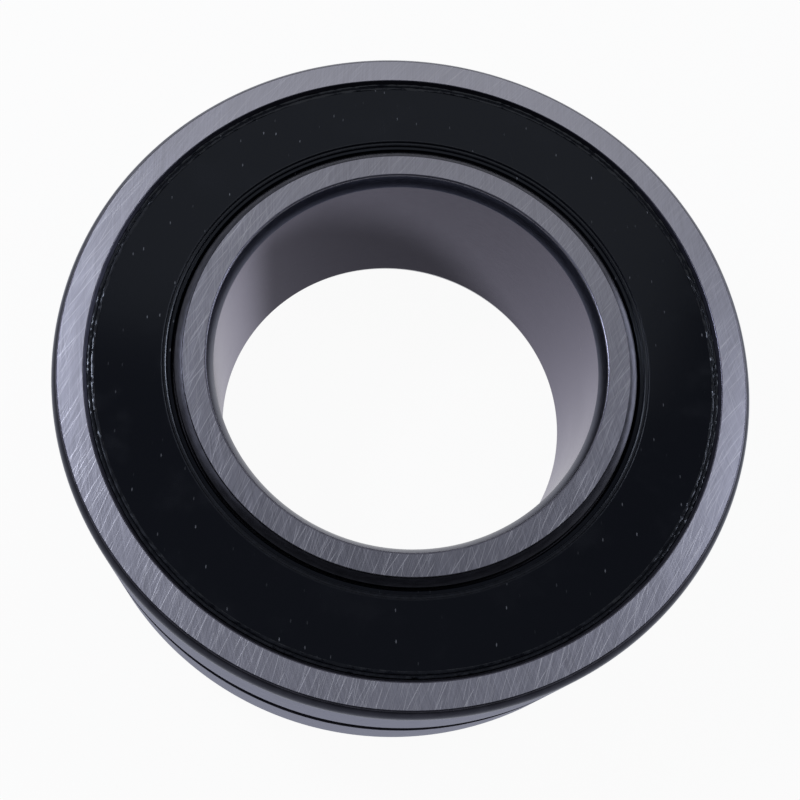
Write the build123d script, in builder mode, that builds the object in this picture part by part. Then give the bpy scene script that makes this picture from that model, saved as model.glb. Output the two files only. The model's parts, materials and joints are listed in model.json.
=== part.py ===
from build123d import *
from math import asin, cos, degrees, pi, radians, sin, sqrt, tan
import os

# Sealed spherical roller bearing, 100 x 180 x 60.3 mm.
# The origin is the centre of the bearing, +Z is its axis, and sizes are in millimetres.

# Boundary dimensions
bore_diameter = 100.0
outer_diameter = 180.0
width = 60.3

# Corners of the rings: how far each one reaches across the face and down the cylinder, and its bulge
rim_corner_radial = 1.85
rim_corner_axial = 3.0
rim_corner_bulge = 0.4
bore_corner_radial = 1.8
bore_corner_axial = 4.0
bore_corner_bulge = 0.15
land_corner_radial = 2.25
land_corner_axial = 1.55
land_corner_bulge = 0.08
land_step_radial = 0.2  # steep little step between the face and the land corner
land_step_axial = 0.4

# Rows of rollers
outer_ring_wall = 8.0  # at the middle of the spherical raceway
inner_ring_wall = 10.84  # the rest of the section, inside the rollers
roller_gap = 3.2  # least gap between neighbouring rollers
roller_corner = 0.9
end_recess_diameter = 6.0  # turned centre in each end of a roller
end_recess_depth = 0.5
profile_relief = 2.5  # how much tighter the rollers are curved than the raceways
running_clearance = 0.08  # between a roller and each raceway
misalignment = 0.5  # degrees of swivel each way
swivel_clearance = 0.3  # left between the rows and a seal at full swivel

# Inner ring
centre_land_width = 4.0
rib_height = 2.2
rib_width = 3.0
rib_clearance = 0.5  # between a roller end and the rib
seal_land_step = 1.0  # the land under the seal lip is lower than the rib

# Guide ring between the rows
guide_ring_width = 7.7  # where the roller axes meet it
guide_clearance = 0.3
guide_bore_clearance = 0.25

# Pressed-steel window cages
cage_thickness = 2.0
cage_offset = 4.0  # middle of the cage wall, outward from the roller axis
cage_bend_radius = 1.5
cage_flange_clearance = 2.0  # flange over the rib of the inner ring
cage_guide_clearance = 0.9
cage_split = 0.8  # gap between the two cages
pocket_clearance = 0.25
roller_end_room = 1.3  # roller end to cage flange, along the bearing axis

# Lubrication groove and its holes
groove_width = 8.3
groove_depth = 1.7
groove_flank = 0.7
lube_hole_diameter = 4.5
lube_holes = 3
first_lube_hole = 90.0

# Seal seat in the outer ring
recess_wall = 8.15  # ring material outside the mouth of the recess
recess_corner = 0.95
seat_groove_depth = 1.7
seat_groove_width = 2.0
shoulder_corner = 0.5

# Seals: moulded rubber on a sheet-steel insert
seal_recess = 0.8  # seal face below the ring faces
seal_thickness = 2.2
seal_fit = 0.05
insert_thickness = 0.8
insert_collar_height = 2.0
insert_lip_cover = 2.35  # rubber between the lip and the insert's bore
lip_clearance = 0.4
lip_thickness = 0.45
lip_step_run = 0.5
lip_step_drop = 0.5
lip_steps = 2
bead_ridge = 0.27  # moulded ridge round the outer edge, left by the groove beside it
bead_groove_depth = 0.45
bead_wall = 0.15  # gap between the ridge and the recess

# Radii and heights that follow
bore_radius = bore_diameter / 2
outer_radius = outer_diameter / 2
face_z = width / 2
ring_section = outer_radius - bore_radius
roller_diameter = ring_section - outer_ring_wall - inner_ring_wall - 2 * running_clearance
raceway_radius = outer_radius - outer_ring_wall
seal_face_z = face_z - seal_recess
insert_top_z = seal_face_z - seal_thickness
insert_bottom_z = insert_top_z - insert_thickness
cage_top_z = insert_bottom_z - raceway_radius * sin(radians(misalignment)) - swivel_clearance

# Roller axes: each runs from the guide ring to the cage flange, square to the contact line
centre_distance = raceway_radius - running_clearance - roller_diameter / 2
axis_start_z = guide_ring_width / 2 + guide_clearance
axis_end_z = cage_top_z - cage_thickness - roller_end_room
centre_z = (axis_start_z + axis_end_z) / 2
contact_angle = asin(centre_z / centre_distance)
centre_radius = centre_distance * cos(contact_angle)
roller_length = (axis_end_z - axis_start_z) / cos(contact_angle)
rollers_per_row = int(pi / asin((roller_diameter + roller_gap) / 2 / centre_radius))
roller_pitch = 360 / rollers_per_row

# Barrel profile of the rollers
profile_radius = raceway_radius - profile_relief
end_radius = roller_diameter / 2 - profile_radius + sqrt(profile_radius**2 - (roller_length / 2) ** 2)


def roller_point(offset, along):
    """Radius and height of a point, by its place beside and along a front roller's axis."""
    radius = centre_radius + offset * cos(contact_angle) - along * sin(contact_angle)
    height = centre_z + offset * sin(contact_angle) + along * cos(contact_angle)
    return radius, height


# Inner raceways: arcs of the outer raceway's radius, centred far out on the contact line
race_centre_distance = centre_distance - roller_diameter / 2 - running_clearance + raceway_radius
race_centre = (race_centre_distance * cos(contact_angle), race_centre_distance * sin(contact_angle))


def race_radius(height):
    """Radius of the front inner raceway at a height."""
    return race_centre[0] - sqrt(raceway_radius**2 - (height - race_centre[1]) ** 2)


def rib_flank_z(radius):
    """Height of the rib's flank, which runs along the outer ends of the rollers."""
    foot = roller_point(0, roller_length / 2 + rib_clearance)
    return foot[1] + (radius - foot[0]) * tan(contact_angle)


centre_land_radius = race_radius(centre_land_width / 2)
race_end = roller_point(-end_radius, roller_length / 2 + rib_clearance)
race_end_radius = race_radius(race_end[1])
rib_radius = race_end_radius + rib_height
rib_end_z = rib_flank_z(rib_radius) + rib_width
seal_land_radius = rib_radius - seal_land_step
land_step_radius = seal_land_radius - land_corner_radial + land_step_radial

# Seal seat and seal radii
recess_mouth_radius = outer_radius - recess_wall
recess_radius = recess_mouth_radius - recess_corner
seat_groove_radius = recess_radius + seat_groove_depth
shoulder_z = insert_bottom_z - seal_fit
lip_radius = seal_land_radius + lip_clearance
insert_bore_radius = lip_radius + insert_lip_cover
bead_radius = recess_radius - bead_wall
collar_outer_radius = bead_radius - insert_thickness
collar_inner_radius = collar_outer_radius - insert_thickness


def revolved_ring(name, points):
    """A ring turned from a closed profile of radius and height."""
    with BuildPart() as ring:
        with BuildSketch(Plane.XZ):
            with BuildLine():
                Polyline(*points, close=True)
            make_face()
        revolve(axis=Axis.Z)
    ring.part.label = name
    return ring.part


# Outer ring
with BuildPart() as outer_ring:
    race_edge_z = shoulder_z - shoulder_corner
    race_edge_radius = sqrt(raceway_radius**2 - race_edge_z**2)
    with BuildSketch(Plane.XZ):
        with BuildLine():
            CenterArc((0, 0), raceway_radius, 0, degrees(asin(race_edge_z / raceway_radius)))
            Polyline(
                (race_edge_radius, race_edge_z),
                (race_edge_radius + shoulder_corner, shoulder_z),
                (seat_groove_radius, shoulder_z),
                (seat_groove_radius, shoulder_z + seat_groove_width),
                (recess_radius, shoulder_z + seat_groove_width),
                (recess_radius, face_z - recess_corner),
                (recess_mouth_radius, face_z),
                (outer_radius - rim_corner_radial, face_z),
            )
            SagittaArc(
                (outer_radius - rim_corner_radial, face_z),
                (outer_radius, face_z - rim_corner_axial),
                rim_corner_bulge,
            )
            Polyline(
                (outer_radius, face_z - rim_corner_axial),
                (outer_radius, groove_width / 2),
                (outer_radius - groove_depth, groove_width / 2 - groove_flank),
                (outer_radius - groove_depth, 0),
            )
            mirror(about=Plane.XZ)
        make_face()
    revolve(axis=Axis.Z)
    with PolarLocations(0, lube_holes, start_angle=first_lube_hole):
        Cylinder(
            lube_hole_diameter / 2,
            outer_radius,
            rotation=(0, 90, 0),
            align=(Align.CENTER, Align.CENTER, Align.MIN),
            mode=Mode.SUBTRACT,
        )
outer_ring.part.label = "outer_ring"

# Inner ring
with BuildPart() as inner_ring:
    with BuildSketch(Plane.XZ):
        with BuildLine():
            Line((centre_land_radius, 0), (centre_land_radius, centre_land_width / 2))
            race_middle_z = (centre_land_width / 2 + race_end[1]) / 2
            ThreePointArc(
                (centre_land_radius, centre_land_width / 2),
                (race_radius(race_middle_z), race_middle_z),
                (race_end_radius, race_end[1]),
            )
            Polyline(
                (race_end_radius, race_end[1]),
                (rib_radius, rib_flank_z(rib_radius)),
                (rib_radius, rib_end_z),
                (seal_land_radius, rib_end_z),
                (seal_land_radius, face_z - land_corner_axial),
            )
            SagittaArc(
                (seal_land_radius, face_z - land_corner_axial),
                (land_step_radius, face_z - land_step_axial),
                -land_corner_bulge,
            )
            Polyline(
                (land_step_radius, face_z - land_step_axial),
                (land_step_radius - land_step_radial, face_z),
                (bore_radius + bore_corner_radial, face_z),
            )
            SagittaArc(
                (bore_radius + bore_corner_radial, face_z),
                (bore_radius, face_z - bore_corner_axial),
                -bore_corner_bulge,
            )
            Line((bore_radius, face_z - bore_corner_axial), (bore_radius, 0))
            mirror(about=Plane.XZ)
        make_face()
    revolve(axis=Axis.Z)
inner_ring.part.label = "inner_ring"

# Guide ring: its flanks run along the inner ends of the rollers
guide_axis_radius = roller_point(0, -roller_length / 2)[0]
guide_bore_radius = centre_land_radius + guide_bore_clearance
guide_outer_radius = guide_axis_radius + cage_offset - cage_thickness / 2 - cage_guide_clearance


def guide_half_width(radius):
    """Half the guide ring's width at a radius."""
    return guide_ring_width / 2 + (radius - guide_axis_radius) * tan(contact_angle)


guide_ring = revolved_ring(
    "guide_ring",
    [
        (guide_bore_radius, -guide_half_width(guide_bore_radius)),
        (guide_outer_radius, -guide_half_width(guide_outer_radius)),
        (guide_outer_radius, guide_half_width(guide_outer_radius)),
        (guide_bore_radius, guide_half_width(guide_bore_radius)),
    ],
)


def roller_plane(angle, side):
    """Section plane of one roller: local X points away from the bearing centre, local Y along the roller."""
    turn = radians(angle)
    tilt = side * contact_angle
    origin = (centre_radius * cos(turn), centre_radius * sin(turn), side * centre_z)
    outward = (cos(tilt) * cos(turn), cos(tilt) * sin(turn), sin(tilt))
    return Plane(origin=origin, x_dir=outward, z_dir=(sin(turn), -cos(turn), 0))


def draw_barrel(growth):
    """Half section of a barrel roller, grown all round, in the sketch in hand."""
    half_length = roller_length / 2 + growth
    rim = end_radius + growth
    Polyline(
        (rim, half_length - roller_corner),
        (rim - roller_corner, half_length),
        (0, half_length),
        (0, -half_length),
        (rim - roller_corner, -half_length),
        (rim, roller_corner - half_length),
    )
    ThreePointArc(
        (rim, roller_corner - half_length),
        (roller_diameter / 2 + growth, 0),
        (rim, half_length - roller_corner),
    )


# Rollers: the rear row stands half a pitch round from the front row
rollers = []
rows = {"front": (1, 0), "rear": (-1, roller_pitch / 2)}
for row, (side, start_angle) in rows.items():
    for number in range(rollers_per_row):
        plane = roller_plane(start_angle + number * roller_pitch, side)
        with BuildPart() as roller:
            with BuildSketch(plane):
                with BuildLine():
                    draw_barrel(0)
                make_face()
            revolve(axis=Axis(plane.origin, plane.y_dir))
            for end in (-1, 1):
                end_centre = plane.origin + plane.y_dir * (end * roller_length / 2)
                with BuildSketch(Plane(end_centre, z_dir=plane.y_dir * end)):
                    Circle(end_recess_diameter / 2)
                extrude(amount=-end_recess_depth, mode=Mode.SUBTRACT)
        roller.part.label = f"roller_{row}_{number + 1:02d}"
        rollers.append(roller.part)

# Cages: a sloped wall with one window for each roller, and a flange turned in over the roller ends
wall_inside = cage_offset - cage_thickness / 2
wall_outside = cage_offset + cage_thickness / 2
cage_flange_radius = rib_radius + cage_flange_clearance


def wall_radius(offset, height):
    """Radius of the cage wall's surface at a height, by its offset from the roller axis."""
    at_centre = roller_point(offset, 0)
    return at_centre[0] - (height - at_centre[1]) * tan(contact_angle)


cages = []
for row, (side, start_angle) in rows.items():
    with BuildPart() as cage:
        flange_z = cage_top_z - cage_thickness
        with BuildSketch(Plane.XZ) as cage_section:
            with BuildLine():
                Polyline(
                    (wall_radius(wall_inside, cage_split / 2), side * cage_split / 2),
                    (wall_radius(wall_outside, cage_split / 2), side * cage_split / 2),
                    (wall_radius(wall_outside, cage_top_z), side * cage_top_z),
                    (cage_flange_radius, side * cage_top_z),
                    (cage_flange_radius, side * flange_z),
                    (wall_radius(wall_inside, flange_z), side * flange_z),
                    close=True,
                )
            make_face()
            bend = cage_section.vertices().group_by(Axis.Y)[-1 if side > 0 else 0].sort_by(Axis.X)[-1]
            fillet(bend, cage_bend_radius)
        revolve(axis=Axis.Z)
        for number in range(rollers_per_row):
            plane = roller_plane(start_angle + number * roller_pitch, side)
            with BuildSketch(plane):
                with BuildLine():
                    draw_barrel(pocket_clearance)
                make_face()
            revolve(axis=Axis(plane.origin, plane.y_dir), mode=Mode.SUBTRACT)
    cage.part.label = f"cage_{row}"
    cages.append(cage.part)

# Seal inserts: a flat disc with a collar turned up at its edge
collar_top_z = insert_bottom_z + insert_collar_height
insert_front = revolved_ring(
    "seal_front_insert",
    [
        (insert_bore_radius, insert_bottom_z),
        (collar_outer_radius, insert_bottom_z),
        (collar_outer_radius, collar_top_z),
        (collar_inner_radius, collar_top_z),
        (collar_inner_radius, insert_top_z),
        (insert_bore_radius, insert_top_z),
    ],
)

# Seals: flat face, stepped lip over the land of the inner ring, bead in the groove of the outer ring
lip_tip_z = insert_bottom_z + lip_thickness
lip_top_radius = lip_radius + lip_thickness
flat_inner_radius = lip_top_radius + 2 * lip_steps * lip_step_run
lip_profile = [(flat_inner_radius, seal_face_z)]
for step in range(1, lip_steps + 1):
    step_z = seal_face_z - step * lip_step_drop
    step_radius = flat_inner_radius - 2 * step * lip_step_run
    lip_profile.append((step_radius + 1.5 * lip_step_run, step_z))
    lip_profile.append((step_radius, step_z))
ridge_radius = bead_radius - bead_ridge
bead_bottom_z = shoulder_z + seat_groove_width - seal_fit
seal_front = revolved_ring(
    "seal_front",
    lip_profile
    + [
        (lip_radius, lip_tip_z + lip_thickness),
        (lip_radius, lip_tip_z),
        (insert_bore_radius, insert_bottom_z),
        (insert_bore_radius, insert_top_z),
        (collar_inner_radius, insert_top_z),
        (collar_inner_radius, collar_top_z),
        (collar_outer_radius, collar_top_z),
        (collar_outer_radius, insert_bottom_z),
        (seat_groove_radius - seal_fit, insert_bottom_z),
        (seat_groove_radius - seal_fit, bead_bottom_z),
        (bead_radius, bead_bottom_z),
        (bead_radius, seal_face_z - bead_groove_depth),
        (ridge_radius, seal_face_z),
        (ridge_radius - bead_ridge, seal_face_z),
        (ridge_radius - 2 * bead_ridge, seal_face_z - bead_groove_depth),
        (ridge_radius - 3 * bead_ridge, seal_face_z - bead_groove_depth),
        (ridge_radius - 4 * bead_ridge, seal_face_z),
    ],
)

with BuildPart() as insert_rear:
    mirror(insert_front, about=Plane.XY)
insert_rear.part.label = "seal_rear_insert"

with BuildPart() as seal_rear:
    mirror(seal_front, about=Plane.XY)
seal_rear.part.label = "seal_rear"

pieces = [outer_ring.part, inner_ring.part, guide_ring]
pieces += [seal_front, seal_rear.part, insert_front, insert_rear.part]
pieces += cages + rollers

os.makedirs("parts", exist_ok=True)
for piece in pieces:
    export_step(piece, f"parts/{piece.label}.step")
print(f"{len(pieces)} pieces, {rollers_per_row} rollers a row, contact angle {degrees(contact_angle):.2f} degrees")
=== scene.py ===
import json
from math import atan2, cos, hypot, pi, radians, sin

import bmesh
import bpy
from mathutils import Matrix, Vector, noise


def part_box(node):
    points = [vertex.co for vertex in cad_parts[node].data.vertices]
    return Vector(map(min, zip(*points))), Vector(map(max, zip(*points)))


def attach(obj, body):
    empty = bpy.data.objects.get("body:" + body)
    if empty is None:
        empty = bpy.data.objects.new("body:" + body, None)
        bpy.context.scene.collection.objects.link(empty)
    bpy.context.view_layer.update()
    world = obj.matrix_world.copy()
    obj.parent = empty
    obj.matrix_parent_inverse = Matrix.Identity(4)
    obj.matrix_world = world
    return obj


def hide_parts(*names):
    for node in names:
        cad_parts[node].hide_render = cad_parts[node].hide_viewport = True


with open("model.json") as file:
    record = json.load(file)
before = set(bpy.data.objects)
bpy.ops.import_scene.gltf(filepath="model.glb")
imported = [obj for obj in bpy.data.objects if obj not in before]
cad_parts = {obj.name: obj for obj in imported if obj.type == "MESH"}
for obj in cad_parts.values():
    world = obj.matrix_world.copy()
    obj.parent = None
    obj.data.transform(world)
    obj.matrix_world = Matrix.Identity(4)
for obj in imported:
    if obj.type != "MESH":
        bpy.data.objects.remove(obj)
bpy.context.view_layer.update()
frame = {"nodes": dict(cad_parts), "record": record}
mm = 0.001

# The frame gives the bearing's outside and its bore; the outlines below are in millimetres.
mounts = {mount["name"]: mount for mount in frame["record"]["mounts"]}
boreRadius = mounts["bore"]["dims"]["r_mm"]
outerRadius = mounts["outer_diameter"]["dims"]["r_mm"]
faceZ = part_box("outer_ring")[1].z / mm
print("frame loaded:", len(frame["nodes"]), "nodes")


# shader helpers: a wire is a node's output, and sums on wires add Math nodes
class Wire:
    def __init__(self, graph, socket):
        self.graph = graph
        self.socket = socket

    def math(self, operation, *others):
        return self.graph.add("ShaderNodeMath", {"operation": operation}, dict(enumerate((self,) + others)))

    def __add__(self, other):
        return self.math("ADD", other)

    def __sub__(self, other):
        return self.math("SUBTRACT", other)

    def __rsub__(self, other):
        return self.graph.add("ShaderNodeMath", {"operation": "SUBTRACT"}, {0: other, 1: self})

    def __mul__(self, other):
        return self.math("MULTIPLY", other)

    def __truediv__(self, other):
        return self.math("DIVIDE", other)

    def __pow__(self, other):
        return self.math("POWER", other)

    __radd__ = __add__
    __rmul__ = __mul__


class Graph:
    def __init__(self, tree):
        self.tree = tree
        tree.nodes.clear()

    # settings go on the node first, then the values or links of its sockets
    def add(self, kind, settings={}, inputs={}, output=0):
        node = self.tree.nodes.new(kind)
        for name, value in settings.items():
            if name == "stops":
                elements = node.color_ramp.elements
                while len(elements) < len(value):
                    elements.new(0.5)
                for element, (place, colour) in zip(elements, value):
                    element.position = place
                    element.color = (*colour, 1)
            else:
                setattr(node, name, value)
        for name, value in inputs.items():
            if isinstance(value, Wire):
                self.tree.links.new(value.socket, node.inputs[name])
            else:
                node.inputs[name].default_value = value
        return Wire(self, node.outputs[output]) if node.outputs else None

    def axes(self, vector):
        split = self.add("ShaderNodeSeparateXYZ", {}, {0: vector}).socket.node
        return [Wire(self, socket) for socket in split.outputs]

    def place(self):  # x, y and z of a point of the piece, in metres
        return self.axes(self.add("ShaderNodeTexCoord", output="Object"))

    def join(self, x, y, z):
        return self.add("ShaderNodeCombineXYZ", {}, {0: x, 1: y, 2: z})

    def noise(self, x, y, z, detail):
        values = {"Vector": self.join(x, y, z), "Scale": 1.0, "Detail": detail, "Roughness": 0.55}
        return self.add("ShaderNodeTexNoise", {}, values)

    def step(self, value, low, high):  # 0 below low, 1 above high, smooth between
        values = {"Value": value, "From Min": low, "From Max": high}
        return self.add("ShaderNodeMapRange", {"interpolation_type": "SMOOTHSTEP"}, values)

    def mix(self, amount, first, second):
        return self.add("ShaderNodeMix", {"data_type": "RGBA"}, {0: amount, 6: first, 7: second}, 2)

    def bump(self, height, depth):
        return self.add("ShaderNodeBump", {}, {"Distance": depth, "Height": height})

    def finish(self, sockets):
        self.show(self.add("ShaderNodeBsdfPrincipled", {}, sockets))

    def show(self, shader):
        self.add("ShaderNodeOutputMaterial", {}, {"Surface": shader})


def newMaterial(name):
    material = bpy.data.materials.new(name)
    material.use_nodes = True
    return material, Graph(material.node_tree)


def rgb(red, green, blue):
    return red, green, blue, 1


def polar(x, y, centre=(0, 0)):
    dx = x - centre[0]
    dy = y - centre[1]
    return (dx * dx + dy * dy).math("SQRT"), dy.math("ARCTAN2", dx)


# patterns: widths and lengths are in metres, and a seed moves a pattern on
def cloud(graph, size, seed):
    x, y, z = graph.place()
    return graph.noise(x / size, y / size, z / size + seed, 3.0)


# long shallow arcs about a point far outside the ring, as a grinding wheel leaves them
def grindingArcs(graph, centre, width, length, seed):
    x, y, z = graph.place()
    radius, angle = polar(x, y, centre)
    return graph.noise(radius / width, angle * (hypot(*centre) / length), seed, 2.0)


# fine lines round the axis, as turning and centreless grinding leave them
turnedGrain = {
    "slant": 0.83,  # lets them run round a cylinder as they do round a face
    "along": 0.05,  # lower breaks them up more
    "seed": 1.3,
}


def turnedLines(graph, width):
    spec = turnedGrain
    x, y, z = graph.place()
    radius, angle = polar(x, y)
    return graph.noise((radius + z * spec["slant"]) / width, angle.math("SINE") / spec["along"],
                       spec["seed"] + angle.math("COSINE") / spec["along"], 2.0)


# ground faces of the rings: a fine lay both ways, and longer scratches that catch the light
faceGrinding = {
    "scratch": rgb(0.92, 0.92, 0.95),
    "roughness": 0.30,
    "wheelReach": 0.42,  # from the bearing's axis to the middle of the arcs, in metres
    "lay": (78, 112),  # directions of the two fine lays, degrees from +X
    "layWidth": 0.00022,
    "layLength": 0.014,
    # direction and strength of each set of scratches
    "marks": ((66, 1.0), (70, 0.8), (75, 1.0), (79, 0.7), (86, 0.7), (109, 0.4), (118, 0.3)),
    "markCell": (0.0022, 0.015),  # one scratch in each, across and along
    "markCourse": (0.32, 0.68),  # the part of the cell's width that scratches run in
    "markEnds": (0.2, 0.7),  # a scratch fades before and after these parts of the cell's length
    "markStagger": (0.37, 9),  # how rows of cells are shifted against each other
    "markTilt": 0.6,
    "markWidth": 0.00013,
    "markRarity": 1.3,  # higher leaves fewer strong scratches
    "markDepth": 0.00001,
    "leastWorn": 0.25,  # strength of the scratches where the face was handled least
    "wornSide": 4.0,  # how much more the side towards -Y was handled
}


def wheelCentre(lean):
    side = radians(lean - 90)
    return faceGrinding["wheelReach"] * cos(side), faceGrinding["wheelReach"] * sin(side)


# one straight scratch in each cell of an arc, with its own place, tilt and strength
def scratches(graph, lean, seed):
    spec = faceGrinding
    cellWidth, cellLength = spec["markCell"]
    low, high = spec["markCourse"]
    fadeIn, fadeOut = spec["markEnds"]
    turn, shift = spec["markStagger"]
    x, y, z = graph.place()
    radius, angle = polar(x, y, wheelCentre(lean))
    across = radius / cellWidth
    row = across.math("FLOOR")
    along = angle * (spec["wheelReach"] / cellLength) + (row * turn).math("SINE") * shift
    cell = graph.join(row, along.math("FLOOR"), seed)
    dice = graph.add("ShaderNodeTexWhiteNoise", {"noise_dimensions": "3D"}, {"Vector": cell}, 1)
    place, strength, tilt = graph.axes(dice)
    run = along.math("FRACT")
    course = low + place * (high - low) + (tilt - 0.5) * (run - 0.5) * spec["markTilt"]
    away = (across.math("FRACT") - course).math("ABSOLUTE") * cellWidth
    ends = graph.step(run, 0.0, fadeIn) * (1 - graph.step(run, fadeOut, 1.0))
    return (1 - graph.step(away, 0.0, spec["markWidth"])) * ends * strength ** spec["markRarity"]


def makeFaceSteel(name, dark, light, markStrength, seed):
    steel, graph = newMaterial(name)
    spec = faceGrinding
    lays = [grindingArcs(graph, wheelCentre(lean), spec["layWidth"], spec["layLength"], seed + lean)
            for lean in spec["lay"]]
    lay = graph.step(lays[0] * 0.5 + lays[1] * 0.5, 0.34, 0.66)
    mark = 0
    for lean, strength in spec["marks"]:
        mark = (scratches(graph, lean, seed + lean) * strength).math("MAXIMUM", mark)
    x, y, z = graph.place()
    worn = graph.step(cloud(graph, 0.02, seed) - y * spec["wornSide"], 0.15, 0.75)
    mark = mark * (spec["leastWorn"] + worn * (1 - spec["leastWorn"]))
    tone = cloud(graph, 0.03, seed) * 0.35 + lay * 0.65
    graph.finish({
        "Base Color": graph.mix(mark * markStrength, graph.mix(tone, dark, light), spec["scratch"]),
        "Metallic": 1.0,
        "Roughness": spec["roughness"] + lay * 0.08 + mark * 0.12,
        "Normal": graph.bump(lay * 0.25 + mark * markStrength, spec["markDepth"]),
    })
    return steel


# painted shadow inside the bore: a dark, dull sheet laid over the steel towards -X and towards the bottom,
# where the ring's own wall would shade the bore from the light
paintedBoreShadow = {
    "colour": rgb(0.008, 0.0078, 0.009),
    "strength": 0.60,
    "reach": 0.05,  # the bore's radius, in metres
    "rise": 0.042,  # metres of height that count as much as the reach
    "edge": (-0.45, 0.3),  # where the painted shadow starts to fade and where it ends, from -1 to 1 across the bore
    "clean": (-1.0, -0.86),  # a narrow strip towards -X is left out of the painted shadow
    "waver": 0.2,
}


# lays the painted shadow over the bore's steel
def paintBoreShadow(graph, steelLook, tone):
    spec = paintedBoreShadow
    x, y, z = graph.place()
    side = x / spec["reach"]
    shadowAmount = 1 - graph.step(side + z / spec["rise"] + tone * spec["waver"], *spec["edge"])
    shadowAmount = shadowAmount * graph.step(side, *spec["clean"]) * spec["strength"]
    # the painted shadow's own dark, dull look
    shadowLook = graph.add("ShaderNodeBsdfDiffuse", {}, {"Color": spec["colour"]})
    return graph.add("ShaderNodeMixShader", {}, {0: shadowAmount, 1: steelLook, 2: shadowLook})


# steel that was turned, ground, honed or pressed: width and depth are those of its fine lines
def makeTurnedSteel(name, dark, light, roughness, width=0.0003, depth=0.000006, tint=rgb(1, 1, 1),
                    film=False):
    steel, graph = newMaterial(name)
    lines = turnedLines(graph, width)
    tone = cloud(graph, 0.02, 5.0)
    steelLook = graph.add("ShaderNodeBsdfPrincipled", {}, {
        "Base Color": graph.mix(graph.step(lines, 0.3, 0.7) * 0.7 + tone * 0.3, dark, light),
        "Metallic": 1.0,
        "Specular Tint": tint,
        "Roughness": roughness + tone * 0.06 + lines * 0.05,
        "Normal": graph.bump(lines, depth),
    })
    # with the flag set, a painted shadow is laid over the steel
    graph.show(paintBoreShadow(graph, steelLook, tone) if film else steelLook)
    return steel


sealRubber = {
    "base": rgb(0.0036, 0.0041, 0.0066),
    "tint": rgb(0.78, 0.87, 1.0),
    "roughness": 0.15,
    "lint": rgb(0.22, 0.23, 0.25),
    "lintLean": 104,  # direction of the fibres, degrees from +X
    "lintCell": (0.0030, 0.0090),  # spacing across and along the fibres
    "lintSize": (0.02, 0.065),  # sharp middle and soft edge of a fibre, as parts of a cell
    "lintShare": (0.55, 0.60),  # cells that draw less than this stay clean
    "smearSize": 0.014,
    "scuffCentre": (0.3, 0.2),
    "scuffWidth": 0.0004,
    "scuffLength": 0.02,
    "gritSize": 0.0008,
    "gritDepth": 0.000008,
}


def makeSealRubber(name):
    rubber, graph = newMaterial(name)
    spec = sealRubber
    x, y, z = graph.place()
    lean = radians(spec["lintLean"])
    along = x * cos(lean) + y * sin(lean)
    across = x * sin(lean) - y * cos(lean)
    cells = {"Vector": graph.join(across / spec["lintCell"][0], along / spec["lintCell"][1], 0), "Scale": 1.0}
    flat = {"voronoi_dimensions": "2D"}
    distance = graph.add("ShaderNodeTexVoronoi", flat, cells)
    chosen, strength = graph.axes(graph.add("ShaderNodeTexVoronoi", flat, cells, 1))[:2]
    lint = (1 - graph.step(distance, *spec["lintSize"])) * graph.step(chosen, *spec["lintShare"])
    lint = lint * strength * strength
    smear = graph.step(cloud(graph, spec["smearSize"], 9.0), 0.50, 0.75)
    scuff = grindingArcs(graph, spec["scuffCentre"], spec["scuffWidth"], spec["scuffLength"], 4.0)
    scuff = graph.step(scuff, 0.68, 0.78) * graph.step(cloud(graph, 0.01, 1.0), 0.5, 0.7)
    dust = (lint + scuff * 0.10 + smear * 0.012).math("MINIMUM", 1.0)
    graph.finish({
        "Base Color": graph.mix(dust, spec["base"], spec["lint"]),
        "Roughness": spec["roughness"] + smear * 0.10 + lint * 0.4,
        "IOR": 1.45,
        "Specular IOR Level": 0.32,
        "Specular Tint": spec["tint"],
        "Normal": graph.bump(cloud(graph, spec["gritSize"], 3.0) * 0.5 + lint, spec["gritDepth"]),
    })
    return rubber


# the lip and the moulding flash shine more than the flat of the seal
def makeShinyRubber(name, roughness, gritDepth):
    rubber, graph = newMaterial(name)
    grit = cloud(graph, 0.0012, 4.0)
    dusty = graph.step(grit, 0.4, 0.7)
    graph.finish({
        "Base Color": graph.mix(dusty, rgb(0.003, 0.0035, 0.006), rgb(0.008, 0.009, 0.013)),
        "Roughness": roughness + grit * 0.10,
        "IOR": 1.46,
        "Specular Tint": rgb(0.84, 0.91, 1.0),
        "Normal": graph.bump(grit, gritDepth),
    })
    return rubber


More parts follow.
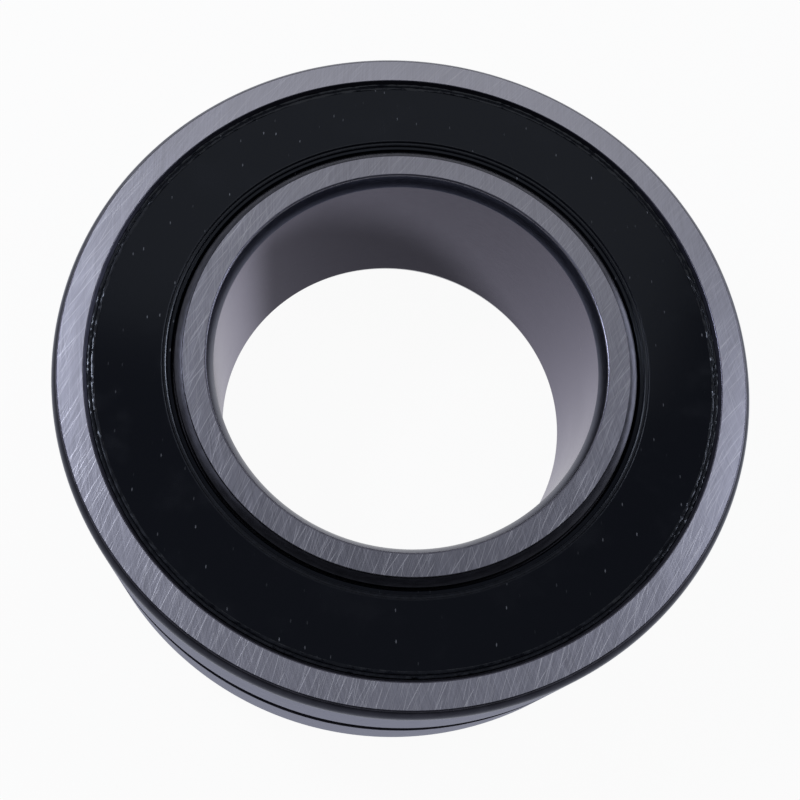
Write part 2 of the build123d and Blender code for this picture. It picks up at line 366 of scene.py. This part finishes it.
faceSteels = {
    "outer_face_steel": {
        "dark": rgb(0.425, 0.428, 0.488), "light": rgb(0.585, 0.588, 0.666),
        "markStrength": 0.95, "seed": 3.1},
    "inner_face_steel": {
        "dark": rgb(0.255, 0.257, 0.297), "light": rgb(0.405, 0.408, 0.467),
        "markStrength": 0.70, "seed": 23.1},
}
turnedSteels = {
    "edge_steel": {"dark": rgb(0.15, 0.15, 0.19), "light": rgb(0.24, 0.24, 0.29), "roughness": 0.22},
    "rim_edge_steel": {"dark": rgb(0.08, 0.08, 0.10), "light": rgb(0.14, 0.14, 0.18), "roughness": 0.22},
    "corner_steel": {
        "dark": rgb(0.017, 0.0175, 0.025), "light": rgb(0.028, 0.029, 0.040), "roughness": 0.24,
        "tint": rgb(0.90, 0.92, 1.0)},
    "bore_corner_steel": {
        "dark": rgb(0.050, 0.054, 0.085), "light": rgb(0.080, 0.087, 0.130), "roughness": 0.24},
    "rim_steel": {
        "dark": rgb(0.200, 0.203, 0.238), "light": rgb(0.310, 0.315, 0.365), "roughness": 0.42,
        "width": 0.0002, "tint": rgb(0.54, 0.56, 0.68)},
    # the bore's steel is painted far darker than the faces' steel: painted shade that stands in for the
    # shaded floor it would reflect inside the bore; its flag also lays the painted shadow over it
    "bore_steel": {
        "dark": rgb(0.048, 0.0465, 0.058), "light": rgb(0.068, 0.066, 0.081), "roughness": 0.20,
        "width": 0.0002, "depth": 0.000004, "tint": rgb(0.90, 0.88, 1.0), "film": True},
    "groove_steel": {
        "dark": rgb(0.03, 0.03, 0.04), "light": rgb(0.06, 0.06, 0.08), "roughness": 0.4, "depth": 0.00001},
    "land_steel": {"dark": rgb(0.075, 0.076, 0.090), "light": rgb(0.125, 0.127, 0.150), "roughness": 0.20},
    "raceway_steel": {
        "dark": rgb(0.50, 0.50, 0.53), "light": rgb(0.60, 0.60, 0.63), "roughness": 0.12,
        "width": 0.0002, "depth": 0.000003},
    "roller_finish": {
        "dark": rgb(0.52, 0.52, 0.55), "light": rgb(0.64, 0.64, 0.67), "roughness": 0.14,
        "width": 0.0002, "depth": 0.000003},
    "cage_finish": {
        "dark": rgb(0.26, 0.25, 0.25), "light": rgb(0.38, 0.37, 0.36), "roughness": 0.38,
        "width": 0.0006, "depth": 0.000012},
    "guide_finish": {
        "dark": rgb(0.40, 0.40, 0.42), "light": rgb(0.52, 0.52, 0.54), "roughness": 0.28, "depth": 0.000008},
    "insert_finish": {
        "dark": rgb(0.34, 0.34, 0.35), "light": rgb(0.46, 0.46, 0.47), "roughness": 0.34,
        "width": 0.0005, "depth": 0.000008},
}
materials = {
    "seal_rubber": makeSealRubber("seal_rubber"),
    "lip_rubber": makeShinyRubber("lip_rubber", 0.20, 0.000002),
    "flash_rubber": makeShinyRubber("flash_rubber", 0.16, 0.00003),
}
for name, look in faceSteels.items():
    materials[name] = makeFaceSteel(name, **look)
for name, look in turnedSteels.items():
    materials[name] = makeTurnedSteel(name, **look)
print("materials made:", len(materials))


# turned shapes: a section drawn in the XZ plane in millimetres, mirrored and spun round the axis
class Section:
    def __init__(self):
        self.mesh = bmesh.new()

    def start(self, radius, height):
        self.first = self.last = self.mesh.verts.new((radius * mm, 0, height * mm))

    def line(self, *points):
        for radius, height in points:
            vert = self.mesh.verts.new((radius * mm, 0, height * mm))
            self.mesh.edges.new((self.last, vert))
            self.last = vert

    def arc(self, point, centre, steps):
        x, z = self.last.co.x / mm, self.last.co.z / mm
        turn = atan2(z - centre[1], x - centre[0]) - atan2(point[1] - centre[1], point[0] - centre[0])
        turn = (turn + pi) % (2 * pi) - pi
        swept = bmesh.ops.spin(self.mesh, geom=[self.last], cent=(centre[0] * mm, 0, centre[1] * mm),
                               axis=(0, 1, 0), angle=turn, steps=steps)
        self.last = [part for part in swept["geom_last"] if isinstance(part, bmesh.types.BMVert)][0]

    # an arc that stands out from its chord, to the left of the way it is drawn
    def bulge(self, point, rise, steps):
        start = Vector((self.last.co.x, self.last.co.z)) / mm
        chord = Vector(point) - start
        radius = (chord.length ** 2 / 4 + rise ** 2) / (2 * rise)
        normal = Vector((-chord.y, chord.x)).normalized()
        self.arc(point, (start + Vector(point)) / 2 + normal * (rise - radius), steps)

    def close(self):
        self.mesh.edges.new((self.last, self.first))

    def mirror(self):
        parts = self.mesh.verts[:] + self.mesh.edges[:]
        bmesh.ops.mirror(self.mesh, geom=parts, matrix=Matrix(), merge_dist=1e-7, axis="Z")

    # rounds the corners that lie at these points: radius, height and size of each
    def soften(self, corners):
        for radius, height, size in corners:
            spot = Vector((radius * mm, 0, height * mm))
            near = [vert for vert in self.mesh.verts if (vert.co - spot).length < 1e-6]
            bmesh.ops.bevel(self.mesh, geom=near, offset=size * mm, offset_type="OFFSET", segments=3,
                            profile=0.5, affect="VERTICES", material=-1)

    def spin(self, steps):
        parts = self.mesh.verts[:] + self.mesh.edges[:]
        bmesh.ops.spin(self.mesh, geom=parts, cent=(0, 0, 0), axis=(0, 0, 1), angle=2 * pi, steps=steps,
                       use_merge=True)
        bmesh.ops.remove_doubles(self.mesh, verts=self.mesh.verts, dist=1e-7)
        bmesh.ops.recalc_face_normals(self.mesh, faces=self.mesh.faces)
        return self.mesh


shading = {"sharpAngle": 35, "faceWeight": 90}  # edges past this many degrees stay sharp


# choose names the finish of a face from its radius, height and normal; without it all get the first one
def makeObject(name, mesh, finishes, body, stands=(), choose=None):
    for face in mesh.faces:
        face.smooth = True
        if choose:
            middle = face.calc_center_median() / mm
            face.material_index = finishes.index(choose(hypot(middle.x, middle.y), middle.z, face.normal))
    for edge in mesh.edges:
        edge.smooth = edge.is_manifold and edge.calc_face_angle() < radians(shading["sharpAngle"])
    data = bpy.data.meshes.new(name)
    mesh.to_mesh(data)
    mesh.free()
    piece = bpy.data.objects.new(name, data)
    bpy.context.scene.collection.objects.link(piece)
    for finishName in finishes:
        data.materials.append(materials[finishName])
    weigh = piece.modifiers.new("weigh", "WEIGHTED_NORMAL")
    weigh.keep_sharp = True
    weigh.weight = shading["faceWeight"]
    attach(piece, body)
    for node in stands:
        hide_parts(node)
    return piece


# outer ring: points are radius and height, and a corner is its reach inward, its reach down and its bulge
outerRing = {
    "steps": 288,
    "raceway": 82.0,
    "raceEdge": (77.835, 25.8),
    "shoulder": (78.335, 26.3),
    "seatRadius": 82.6,
    "seatTop": 28.3,
    "recessRadius": 80.9,
    "mouthRadius": 81.85,
    "recessCorner": 0.95,
    "rimCorner": (1.85, 3.0, 0.4),
    "groove": (4.15, 1.7, 0.7),  # half its width, its depth, and how far its flank slopes
}
lubeHoles = {
    "radius": 2.25,
    "angles": (90, 210, 330),
    "middle": 85,  # the drill's own middle and length
    "length": 16,
    "sides": 40,
}


def makeOuterRing():
    spec = outerRing
    cornerRadial, cornerAxial, rise = spec["rimCorner"]
    halfGroove, grooveDepth, flank = spec["groove"]
    bottom = outerRadius - grooveDepth
    section = Section()
    section.start(spec["raceway"], 0)
    section.arc(spec["raceEdge"], (0, 0), 14)
    section.line(
        spec["shoulder"], (spec["seatRadius"], spec["shoulder"][1]), (spec["seatRadius"], spec["seatTop"]),
        (spec["recessRadius"], spec["seatTop"]), (spec["recessRadius"], faceZ - spec["recessCorner"]),
        (spec["mouthRadius"], faceZ), (outerRadius - cornerRadial, faceZ))
    section.bulge((outerRadius, faceZ - cornerAxial), rise, 8)
    section.line((outerRadius, halfGroove), (bottom, halfGroove - flank), (bottom, 0))
    section.mirror()
    for side in (1, -1):
        section.soften([
            (spec["recessRadius"], side * (faceZ - spec["recessCorner"]), 0.25),
            (spec["mouthRadius"], side * faceZ, 0.15),
            (outerRadius - cornerRadial, side * faceZ, 0.1),
            (outerRadius, side * halfGroove, 0.15),
            (bottom, side * (halfGroove - flank), 0.3)])

    # each limit lies just past the edge of its surface
    def choose(radius, height, normal):
        if abs(height) > faceZ - 0.3 and abs(normal.z) > 0.8:
            return "outer_face_steel" if abs(normal.z) > 0.999 else "rim_edge_steel"
        if radius > outerRadius - 0.03 and abs(height) < faceZ - cornerAxial:
            return "rim_steel"
        if radius > bottom - 0.1 and abs(height) < halfGroove + 0.1:
            return "groove_steel"
        onRaceway = radius < spec["raceway"] + 0.01 and abs(height) < spec["raceEdge"][1]
        return "raceway_steel" if onRaceway else "corner_steel"

    mesh = section.spin(spec["steps"])
    finishes = ["outer_face_steel", "corner_steel", "rim_steel", "groove_steel", "raceway_steel",
                "rim_edge_steel"]
    stands = ["outer_ring"]
    ring = makeObject("outer_ring_turned", mesh, finishes, "outer_ring", stands, choose)
    drillHoles(ring)


# the drill is an object that cuts and is then thrown away
def drillHoles(ring):
    spec = lubeHoles
    mesh = bmesh.new()
    for angle in spec["angles"]:
        turn = Matrix.Rotation(radians(angle), 4, "Z") @ Matrix.Rotation(radians(90), 4, "Y")
        shift = Matrix.Translation((0, 0, spec["middle"] * mm))
        bmesh.ops.create_cone(mesh, cap_ends=True, segments=spec["sides"], radius1=spec["radius"] * mm,
                              radius2=spec["radius"] * mm, depth=spec["length"] * mm, matrix=turn @ shift)
    data = bpy.data.meshes.new("drill")
    mesh.to_mesh(data)
    mesh.free()
    for face in data.polygons:
        face.use_smooth = True
    drill = bpy.data.objects.new("drill", data)
    bpy.context.scene.collection.objects.link(drill)
    cut = ring.modifiers.new("cut", "BOOLEAN")
    cut.operation = "DIFFERENCE"
    cut.solver = "EXACT"
    cut.object = drill
    ring.modifiers.move(ring.modifiers.find("cut"), 0)
    drilled = bpy.data.meshes.new_from_object(ring.evaluated_get(bpy.context.evaluated_depsgraph_get()))
    ring.modifiers.remove(ring.modifiers["cut"])
    ring.data = drilled
    bpy.data.objects.remove(drill)


# inner ring: points are radius and height, and a corner is its reach outward, its reach down and its bulge
innerRing = {
    "steps": 256,
    "middleLand": (62.067, 2.0),
    "raceCentre": (140.42, 26.184),
    "raceEnd": (58.603, 20.697),
    "rib": (60.803, 21.1, 24.1),  # radius, foot and top
    "sealLand": 59.803,
    "landCorner": (2.25, 1.55, 0.08),
    "landStep": (0.2, 0.4),
    "boreCorner": (1.8, 4.0, 0.15),
}


def makeInnerRing():
    spec = innerRing
    land = spec["sealLand"]
    ribRadius, ribFoot, ribTop = spec["rib"]
    landRadial, landAxial, landRise = spec["landCorner"]
    stepRadial, stepAxial = spec["landStep"]
    boreRadial, boreAxial, boreRise = spec["boreCorner"]
    section = Section()
    section.start(spec["middleLand"][0], 0)
    section.line(spec["middleLand"])
    section.arc(spec["raceEnd"], spec["raceCentre"], 12)
    section.line((ribRadius, ribFoot), (ribRadius, ribTop), (land, ribTop), (land, faceZ - landAxial))
    section.bulge((land - landRadial + stepRadial, faceZ - stepAxial), -landRise, 8)
    section.line((land - landRadial, faceZ), (boreRadius + boreRadial, faceZ))
    section.bulge((boreRadius, faceZ - boreAxial), -boreRise, 8)
    section.line((boreRadius, 0))
    section.mirror()
    for side in (1, -1):
        section.soften([
            (land, side * (faceZ - landAxial), 0.2),
            (land - landRadial, side * faceZ, 0.1),
            (boreRadius + boreRadial, side * faceZ, 0.3),
            (boreRadius, side * (faceZ - boreAxial), 0.15)])

    # each limit lies just past the edge of its surface
    def choose(radius, height, normal):
        if abs(normal.z) > 0.999 and abs(height) > faceZ - 0.02:
            return "inner_face_steel"
        if radius < boreRadius + boreRadial + 0.4 and abs(normal.z) > 0.5:
            return "edge_steel"
        if radius < boreRadius + 0.02:
            return "bore_steel"
        if radius < boreRadius + boreRadial + 0.1:
            return "bore_corner_steel"
        return "land_steel" if abs(height) > ribTop - 0.1 else "raceway_steel"

    mesh = section.spin(spec["steps"])
    finishes = ["inner_face_steel", "bore_steel", "land_steel", "raceway_steel", "edge_steel",
                "bore_corner_steel"]
    makeObject("inner_ring_turned", mesh, finishes, "inner_ring", ["inner_ring"], choose)


# seals: moulded rubber with a stepped lip; points are radius and height
seal = {
    "steps": 256,
    "lipEdge": [(62.96, 29.35)],
    "lipSteps": [
        (62.653, 29.44), (62.403, 28.85), (61.96, 28.85), (61.653, 28.94), (61.403, 28.35), (60.653, 28.35)],
    "lipTip": [(60.203, 27.25), (60.203, 26.8)],
    "insertSeat": [
        (62.553, 26.35), (62.553, 27.15), (79.15, 27.15), (79.15, 28.35), (79.95, 28.35), (79.95, 26.35)],
    "anchor": [(82.55, 26.35), (82.55, 28.25), (80.75, 28.25)],
    "edge": [(80.75, 28.9), (80.48, 29.35), (80.21, 29.35), (79.94, 28.9), (79.67, 28.9), (79.4, 29.35)],
    "soft": 0.08,
    "shinyLip": (61.403, 62.96),  # the part of the lip that shines, between these radii
}


def makeSeal(name, side):
    spec = seal
    parts = ("lipEdge", "lipSteps", "lipTip", "insertSeat", "anchor", "edge")
    corners = [(radius, side * height) for part in parts for radius, height in spec[part]]
    section = Section()
    section.start(*corners[0])
    section.line(*corners[1:])
    section.close()
    rounded = spec["lipSteps"] + spec["lipTip"][:1] + spec["edge"][1:]
    section.soften([(radius, side * height, spec["soft"]) for radius, height in rounded])

    def choose(radius, height, normal):
        return "lip_rubber" if spec["shinyLip"][0] < radius < spec["shinyLip"][1] else "seal_rubber"

    mesh = section.spin(spec["steps"])
    finishes = ["seal_rubber", "lip_rubber"]
    makeObject(name + "_moulded", mesh, finishes, "outer_ring", [name], choose)


# torn flash that the mould leaves round the outer edge: a bead, and a thinner fin outside it
flash = {
    # radius, and height over the seal's face; both slope outwards, so that they catch the side light
    "bead": [(79.2, -0.1), (79.26, 0.13), (79.4, 0.19), (79.9, 0.13), (80.04, 0.05), (80.08, -0.1)],
    "fin": [(80.4, -0.1), (80.45, 0.13), (80.55, 0.16), (80.92, 0.11), (81.0, -0.1)],
    "between": 80.2,  # a radius between the two
    "level": 29.35,  # the seal's face
    "steps": 900,
    "lumps": 70,  # lumps a turn
    "crumbs": 5,  # finer lumps in each
    "wander": 0.26,  # how far the bead strays to and fro
    "wanderShares": (0.35, 0.25),  # parts that lumps and crumbs have in it
    "finWander": 0.6,  # the fin strays less
    "height": 0.8,  # as a part of the section's own height
    "heightShares": (0.9, 1.1),  # what lumps and crumbs add to it or take from it
    "lowest": 0.05,
    "seeds": (11.0, 16.0),  # front and rear
}


def makeFlash(name, side, seed):
    spec = flash
    level = spec["level"]
    section = Section()
    for outline in (spec["bead"], spec["fin"]):
        corners = [(radius, level + height) for radius, height in outline]
        section.start(*corners[0])
        section.line(*corners[1:])
        section.close()
    mesh = section.spin(spec["steps"])
    for vert in mesh.verts:
        angle = atan2(vert.co.y, vert.co.x)
        radius = hypot(vert.co.x, vert.co.y) / mm
        fin = radius > spec["between"]
        walk = Vector((cos(angle), sin(angle), seed + 3 * fin)) * spec["lumps"] / 6
        lump = noise.noise(walk)
        crumb = noise.noise(walk * spec["crumbs"] + Vector((radius * 2, 0, 0)))
        stray = spec["wanderShares"][0] * lump + spec["wanderShares"][1] * crumb
        radius += spec["wander"] * stray * (spec["finWander"] if fin else 1)
        above = vert.co.z / mm - level
        if above > 0:
            stands = spec["height"] + spec["heightShares"][0] * lump + spec["heightShares"][1] * crumb
            above *= max(spec["lowest"], stands)
        vert.co = Vector((radius * cos(angle), radius * sin(angle), side * (level + above))) * mm
    bmesh.ops.recalc_face_normals(mesh, faces=mesh.faces)
    makeObject(name + "_bead", mesh, ["flash_rubber"], "outer_ring")


makeOuterRing()
makeInnerRing()
for name, side, seed in zip(("seal_front", "seal_rear"), (1, -1), flash["seeds"]):
    makeSeal(name, side)
    makeFlash(name, side, seed)
print("rings and seals turned")

# the inner pieces keep their frame shapes and get their finishes
innerFinishes = {
    "roller": "roller_finish",
    "cage": "cage_finish",
    "guide": "guide_finish",
    "seal": "insert_finish",
}
for name, node in frame["nodes"].items():
    finishName = innerFinishes.get(name.split("_")[0], "raceway_steel")
    for slot in node.material_slots:
        slot.material = materials[finishName]
print("inner pieces finished")


# stage
floorLook = {
    "half": 3.0,
    "gap": 0.0001,
    "colour": rgb(0.90, 0.90, 0.90),
    "white": 0.95,  # share of plain white that the lens and the metal see
}


def makeFloor():
    spec = floorLook
    mesh = bmesh.new()
    bmesh.ops.create_grid(mesh, x_segments=1, y_segments=1, size=spec["half"])
    bmesh.ops.translate(mesh, verts=mesh.verts, vec=(0, 0, -faceZ * mm - spec["gap"]))
    data = bpy.data.meshes.new("floor")
    mesh.to_mesh(data)
    mesh.free()
    floor = bpy.data.objects.new("floor", data)
    bpy.context.scene.collection.objects.link(floor)
    paper, graph = newMaterial("floor_paper")
    path = graph.add("ShaderNodeLightPath").socket.node
    direct, metal, glass = [Wire(graph, path.outputs[kind])
                            for kind in ("Is Camera Ray", "Is Glossy Ray", "Is Transmission Ray")]
    share = (direct + metal + glass).math("MINIMUM", 1.0) * spec["white"]
    plain = graph.add("ShaderNodeBsdfDiffuse", {}, {"Color": spec["colour"]})
    white = graph.add("ShaderNodeEmission", {}, {"Color": rgb(1, 1, 1), "Strength": 1.0})
    graph.show(graph.add("ShaderNodeMixShader", {}, {0: share, 1: plain, 2: white}))
    data.materials.append(paper)


# the studio round the object, from the horizon up to straight overhead
skyLook = {
    "stops": [
        (0.0, (1.0, 1.0, 1.0)), (0.08, (0.80, 0.80, 0.82)), (0.20, (0.34, 0.34, 0.36)),
        (0.34, (0.34, 0.35, 0.38)), (0.50, (0.14, 0.145, 0.165)), (0.65, (0.06, 0.062, 0.075)),
        (0.88, (0.12, 0.125, 0.145)), (1.0, (0.22, 0.225, 0.25))],
    "front": 0.45,  # the side towards -Y is darker, and keeps this share
    "frontTurn": (-0.05, 0.35),  # where it starts and where it is full, towards -Y
    "frontRise": (0.05, 0.15),  # and over the horizon
}


def makeSky():
    spec = skyLook
    world = bpy.data.worlds.new("studio")
    world.use_nodes = True
    bpy.context.scene.world = world
    graph = Graph(world.node_tree)
    east, north, height = graph.axes(graph.add("ShaderNodeTexCoord"))
    sky = graph.add("ShaderNodeValToRGB", {"stops": spec["stops"]}, {0: height})
    front = graph.step(north * -1, *spec["frontTurn"]) * graph.step(height, *spec["frontRise"])
    strength = 1 - front * (1 - spec["front"])
    background = graph.add("ShaderNodeBackground", {}, {"Color": sky, "Strength": strength})
    graph.add("ShaderNodeOutputWorld", {}, {"Surface": background})


# lamps: azimuth and elevation in degrees, size and distance in metres
coolLight = (0.94, 0.97, 1.12)
warmLight = (1.0, 0.99, 0.98)
lamps = {
    "left_key": {
        "azimuth": 168, "elevation": 48, "size": (0.12, 0.12), "radiance": 25.0, "colour": coolLight},
    "left_wide": {
        "azimuth": 180, "elevation": 50, "size": (0.66, 0.42), "radiance": 0.42, "colour": coolLight},
    "right_key": {
        "azimuth": 28, "elevation": 51, "size": (0.12, 0.12), "radiance": 7.8, "colour": coolLight},
    "right_low": {
        "azimuth": 30, "elevation": 13, "size": (0.48, 0.26), "radiance": 1.5, "colour": coolLight},
    "back_panel": {
        "azimuth": 97, "elevation": 56, "size": (0.50, 0.36), "radiance": 0.46, "colour": warmLight},
}
lampDistance = 0.72


def makeLamp(name, azimuth, elevation, size, radiance, colour):
    lamp = bpy.data.lights.new(name, "AREA")
    lamp.shape = "RECTANGLE"
    lamp.size, lamp.size_y = size
    lamp.energy = radiance * pi * size[0] * size[1]
    lamp.color = colour
    holder = bpy.data.objects.new(name, lamp)
    bpy.context.scene.collection.objects.link(holder)
    turn, rise = radians(azimuth), radians(elevation)
    place = Vector((cos(rise) * cos(turn), cos(rise) * sin(turn), sin(rise))) * lampDistance
    holder.location = place
    holder.rotation_euler = (-place).to_track_quat("-Z", "Y").to_euler()


makeFloor()
makeSky()
for name, lamp in lamps.items():
    makeLamp(name, **lamp)
print("stage set")

# camera: its place in metres and its turn in degrees
lens = {
    "place": (0, -0.11698, 0.32145),
    "turn": (22.0727, -5.5523, 14.0312),
    "length": 55.14,
    "shift": (-0.01242, -0.08315),
    "clipStart": 0.01,
}
camera = bpy.data.objects.new("camera", bpy.data.cameras.new("camera"))
bpy.context.scene.collection.objects.link(camera)
camera.location = lens["place"]
camera.rotation_euler = [radians(angle) for angle in lens["turn"]]
camera.data.lens = lens["length"]
camera.data.shift_x, camera.data.shift_y = lens["shift"]
camera.data.clip_start = lens["clipStart"]
bpy.context.scene.camera = camera
bpy.context.scene.view_settings.view_transform = "Standard"
print("camera set")
